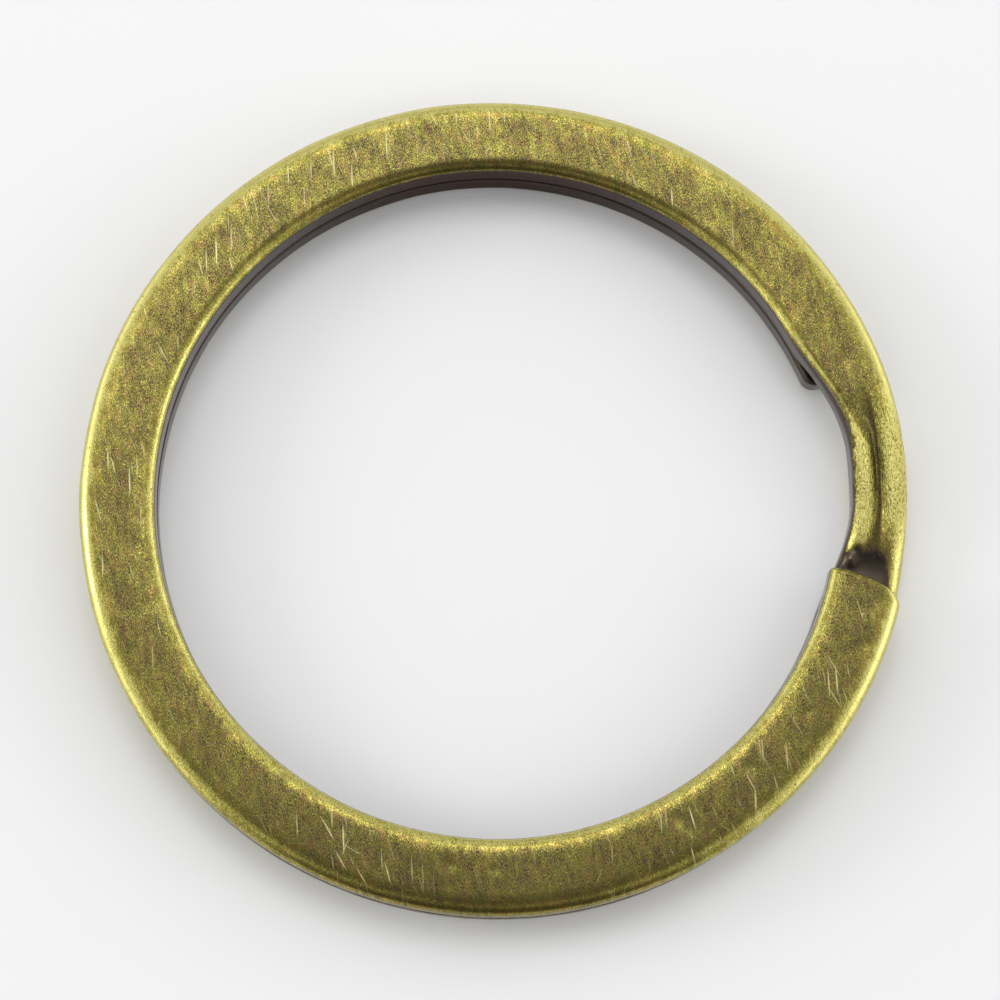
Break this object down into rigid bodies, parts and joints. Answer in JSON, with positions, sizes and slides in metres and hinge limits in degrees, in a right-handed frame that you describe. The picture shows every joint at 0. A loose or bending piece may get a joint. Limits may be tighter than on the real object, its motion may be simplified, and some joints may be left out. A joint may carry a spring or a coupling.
{
  "type": "split key ring",
  "caption": "Flat spring-wire split ring of two face-to-face turns joined by a pinched, grooved crossover; either free tip pries up to thread a key on.",
  "frame": {"origin": "centre of the ring, on the plane that it lies on", "axes": "+Z is the ring's axis, up out of the surface that it lies on; +X points, within 5 degrees, at the crossover and the two free tips"},
  "size_m": [0.032, 0.032, 0.0027],
  "materials": {
    "antique_brass": "antiqued plating, brushed and burnished bright on its edges and dark in its hollows"
  },
  "bodies": {
    "lower_tip": {"lower_turn_tip": "antique_brass"},
    "lower_flex_8": {"lower_turn_flex_8": "antique_brass"},
    "lower_flex_7": {"lower_turn_flex_7": "antique_brass"},
    "lower_flex_6": {"lower_turn_flex_6": "antique_brass"},
    "lower_flex_5": {"lower_turn_flex_5": "antique_brass"},
    "lower_flex_4": {"lower_turn_flex_4": "antique_brass"},
    "lower_flex_3": {"lower_turn_flex_3": "antique_brass"},
    "lower_flex_2": {"lower_turn_flex_2": "antique_brass"},
    "lower_flex_1": {"lower_turn_flex_1": "antique_brass"},
    "coil": {"lower_turn_root": "antique_brass", "crossover": "antique_brass", "upper_turn_root": "antique_brass"},
    "upper_flex_1": {"upper_turn_flex_1": "antique_brass"},
    "upper_flex_2": {"upper_turn_flex_2": "antique_brass"},
    "upper_flex_3": {"upper_turn_flex_3": "antique_brass"},
    "upper_flex_4": {"upper_turn_flex_4": "antique_brass"},
    "upper_flex_5": {"upper_turn_flex_5": "antique_brass"},
    "upper_flex_6": {"upper_turn_flex_6": "antique_brass"},
    "upper_flex_7": {"upper_turn_flex_7": "antique_brass"},
    "upper_flex_8": {"upper_turn_flex_8": "antique_brass"},
    "upper_tip": {"upper_turn_tip": "antique_brass"}
  },
  "joints": [
    {"name": "lower_turn_pry", "type": "hinge", "parent": "lower_tip", "child": "lower_flex_8", "pos_m": [0.01073, 0.00983, 0.00067], "axis": [-0.6756, 0.7373, 0], "range_deg": [0, 1.25], "stiffness_Nm_per_rad": 25},
    {"name": "lower_turn_twist_2", "type": "hinge", "parent": "lower_flex_8", "child": "lower_flex_7", "pos_m": [0.00672, 0.01291, 0.00067], "axis": [-0.887, 0.4617, 0], "range_deg": [0, 1.25], "stiffness_Nm_per_rad": 25},
    {"name": "lower_turn_twist_3", "type": "hinge", "parent": "lower_flex_7", "child": "lower_flex_6", "pos_m": [0.0019, 0.01443, 0.00067], "axis": [-0.9914, 0.1305, 0], "range_deg": [0, 1.25], "stiffness_Nm_per_rad": 25},
    {"name": "lower_turn_twist_4", "type": "hinge", "parent": "lower_flex_6", "child": "lower_flex_5", "pos_m": [-0.00315, 0.01421, 0.00067], "axis": [-0.9763, -0.2164, 0], "range_deg": [0, 1.25], "stiffness_Nm_per_rad": 25},
    {"name": "lower_turn_twist_5", "type": "hinge", "parent": "lower_flex_5", "child": "lower_flex_4", "pos_m": [-0.00782, 0.01227, 0.00067], "axis": [-0.8434, -0.5373, 0], "range_deg": [0, 1.25], "stiffness_Nm_per_rad": 25},
    {"name": "lower_turn_twist_6", "type": "hinge", "parent": "lower_flex_4", "child": "lower_flex_3", "pos_m": [-0.01154, 0.00886, 0.00067], "axis": [-0.6088, -0.7934, 0], "range_deg": [0, 1.25], "stiffness_Nm_per_rad": 25},
    {"name": "lower_turn_twist_7", "type": "hinge", "parent": "lower_flex_3", "child": "lower_flex_2", "pos_m": [-0.01388, 0.00438, 0.00067], "axis": [-0.3007, -0.9537, 0], "range_deg": [0, 1.25], "stiffness_Nm_per_rad": 25},
    {"name": "lower_turn_twist_8", "type": "hinge", "parent": "lower_flex_2", "child": "lower_flex_1", "pos_m": [-0.01454, -0.00063, 0.00067], "axis": [0.0436, -0.999, 0], "range_deg": [0, 1.25], "stiffness_Nm_per_rad": 25},
    {"name": "lower_turn_twist_9", "type": "hinge", "parent": "lower_flex_1", "child": "coil", "pos_m": [-0.01344, -0.00557, 0.00067], "axis": [0.3827, -0.9239, 0], "range_deg": [0, 1.25], "stiffness_Nm_per_rad": 25},
    {"name": "upper_turn_pry", "type": "hinge", "parent": "coil", "child": "upper_flex_1", "pos_m": [-0.01415, 0.0034, 0.00206], "axis": [-0.2334, -0.9724, 0], "range_deg": [0, 1.25], "stiffness_Nm_per_rad": 25},
    {"name": "upper_turn_twist_2", "type": "hinge", "parent": "upper_flex_1", "child": "upper_flex_2", "pos_m": [-0.01446, -0.00165, 0.00206], "axis": [0.1132, -0.9936, 0], "range_deg": [0, 1.25], "stiffness_Nm_per_rad": 25},
    {"name": "upper_turn_twist_3", "type": "hinge", "parent": "upper_flex_2", "child": "upper_flex_3", "pos_m": [-0.01302, -0.00649, 0.00206], "axis": [0.4462, -0.8949, 0], "range_deg": [0, 1.25], "stiffness_Nm_per_rad": 25},
    {"name": "upper_turn_twist_4", "type": "hinge", "parent": "upper_flex_3", "child": "upper_flex_4", "pos_m": [-0.01002, -0.01055, 0.00206], "axis": [0.7254, -0.6884, 0], "range_deg": [0, 1.25], "stiffness_Nm_per_rad": 25},
    {"name": "upper_turn_twist_5", "type": "hinge", "parent": "upper_flex_4", "child": "upper_flex_5", "pos_m": [-0.0058, -0.01334, 0.00206], "axis": [0.9171, -0.3987, 0], "range_deg": [0, 1.25], "stiffness_Nm_per_rad": 25},
    {"name": "upper_turn_twist_6", "type": "hinge", "parent": "upper_flex_5", "child": "upper_flex_6", "pos_m": [-0.00089, -0.01452, 0.00206], "axis": [0.9981, -0.061, 0], "range_deg": [0, 1.25], "stiffness_Nm_per_rad": 25},
    {"name": "upper_turn_twist_7", "type": "hinge", "parent": "upper_flex_6", "child": "upper_flex_7", "pos_m": [0.00413, -0.01395, 0.00206], "axis": [0.9588, 0.284, 0], "range_deg": [0, 1.25], "stiffness_Nm_per_rad": 25},
    {"name": "upper_turn_twist_8", "type": "hinge", "parent": "upper_flex_7", "child": "upper_flex_8", "pos_m": [0.00865, -0.0117, 0.00206], "axis": [0.8039, 0.5948, 0], "range_deg": [0, 1.25], "stiffness_Nm_per_rad": 25},
    {"name": "upper_turn_twist_9", "type": "hinge", "parent": "upper_flex_8", "child": "upper_tip", "pos_m": [0.01213, -0.00803, 0.00206], "axis": [0.5519, 0.8339, 0], "range_deg": [0, 1.25], "stiffness_Nm_per_rad": 25}
  ],
  "couplings": [
    {"joint": "lower_turn_twist_2", "follows": "lower_turn_pry", "ratio": 1},
    {"joint": "lower_turn_twist_3", "follows": "lower_turn_pry", "ratio": 1},
    {"joint": "lower_turn_twist_4", "follows": "lower_turn_pry", "ratio": 1},
    {"joint": "lower_turn_twist_5", "follows": "lower_turn_pry", "ratio": 1},
    {"joint": "lower_turn_twist_6", "follows": "lower_turn_pry", "ratio": 1},
    {"joint": "lower_turn_twist_7", "follows": "lower_turn_pry", "ratio": 1},
    {"joint": "lower_turn_twist_8", "follows": "lower_turn_pry", "ratio": 1},
    {"joint": "lower_turn_twist_9", "follows": "lower_turn_pry", "ratio": 1},
    {"joint": "upper_turn_twist_2", "follows": "upper_turn_pry", "ratio": 1},
    {"joint": "upper_turn_twist_3", "follows": "upper_turn_pry", "ratio": 1},
    {"joint": "upper_turn_twist_4", "follows": "upper_turn_pry", "ratio": 1},
    {"joint": "upper_turn_twist_5", "follows": "upper_turn_pry", "ratio": 1},
    {"joint": "upper_turn_twist_6", "follows": "upper_turn_pry", "ratio": 1},
    {"joint": "upper_turn_twist_7", "follows": "upper_turn_pry", "ratio": 1},
    {"joint": "upper_turn_twist_8", "follows": "upper_turn_pry", "ratio": 1},
    {"joint": "upper_turn_twist_9", "follows": "upper_turn_pry", "ratio": 1}
  ]
}
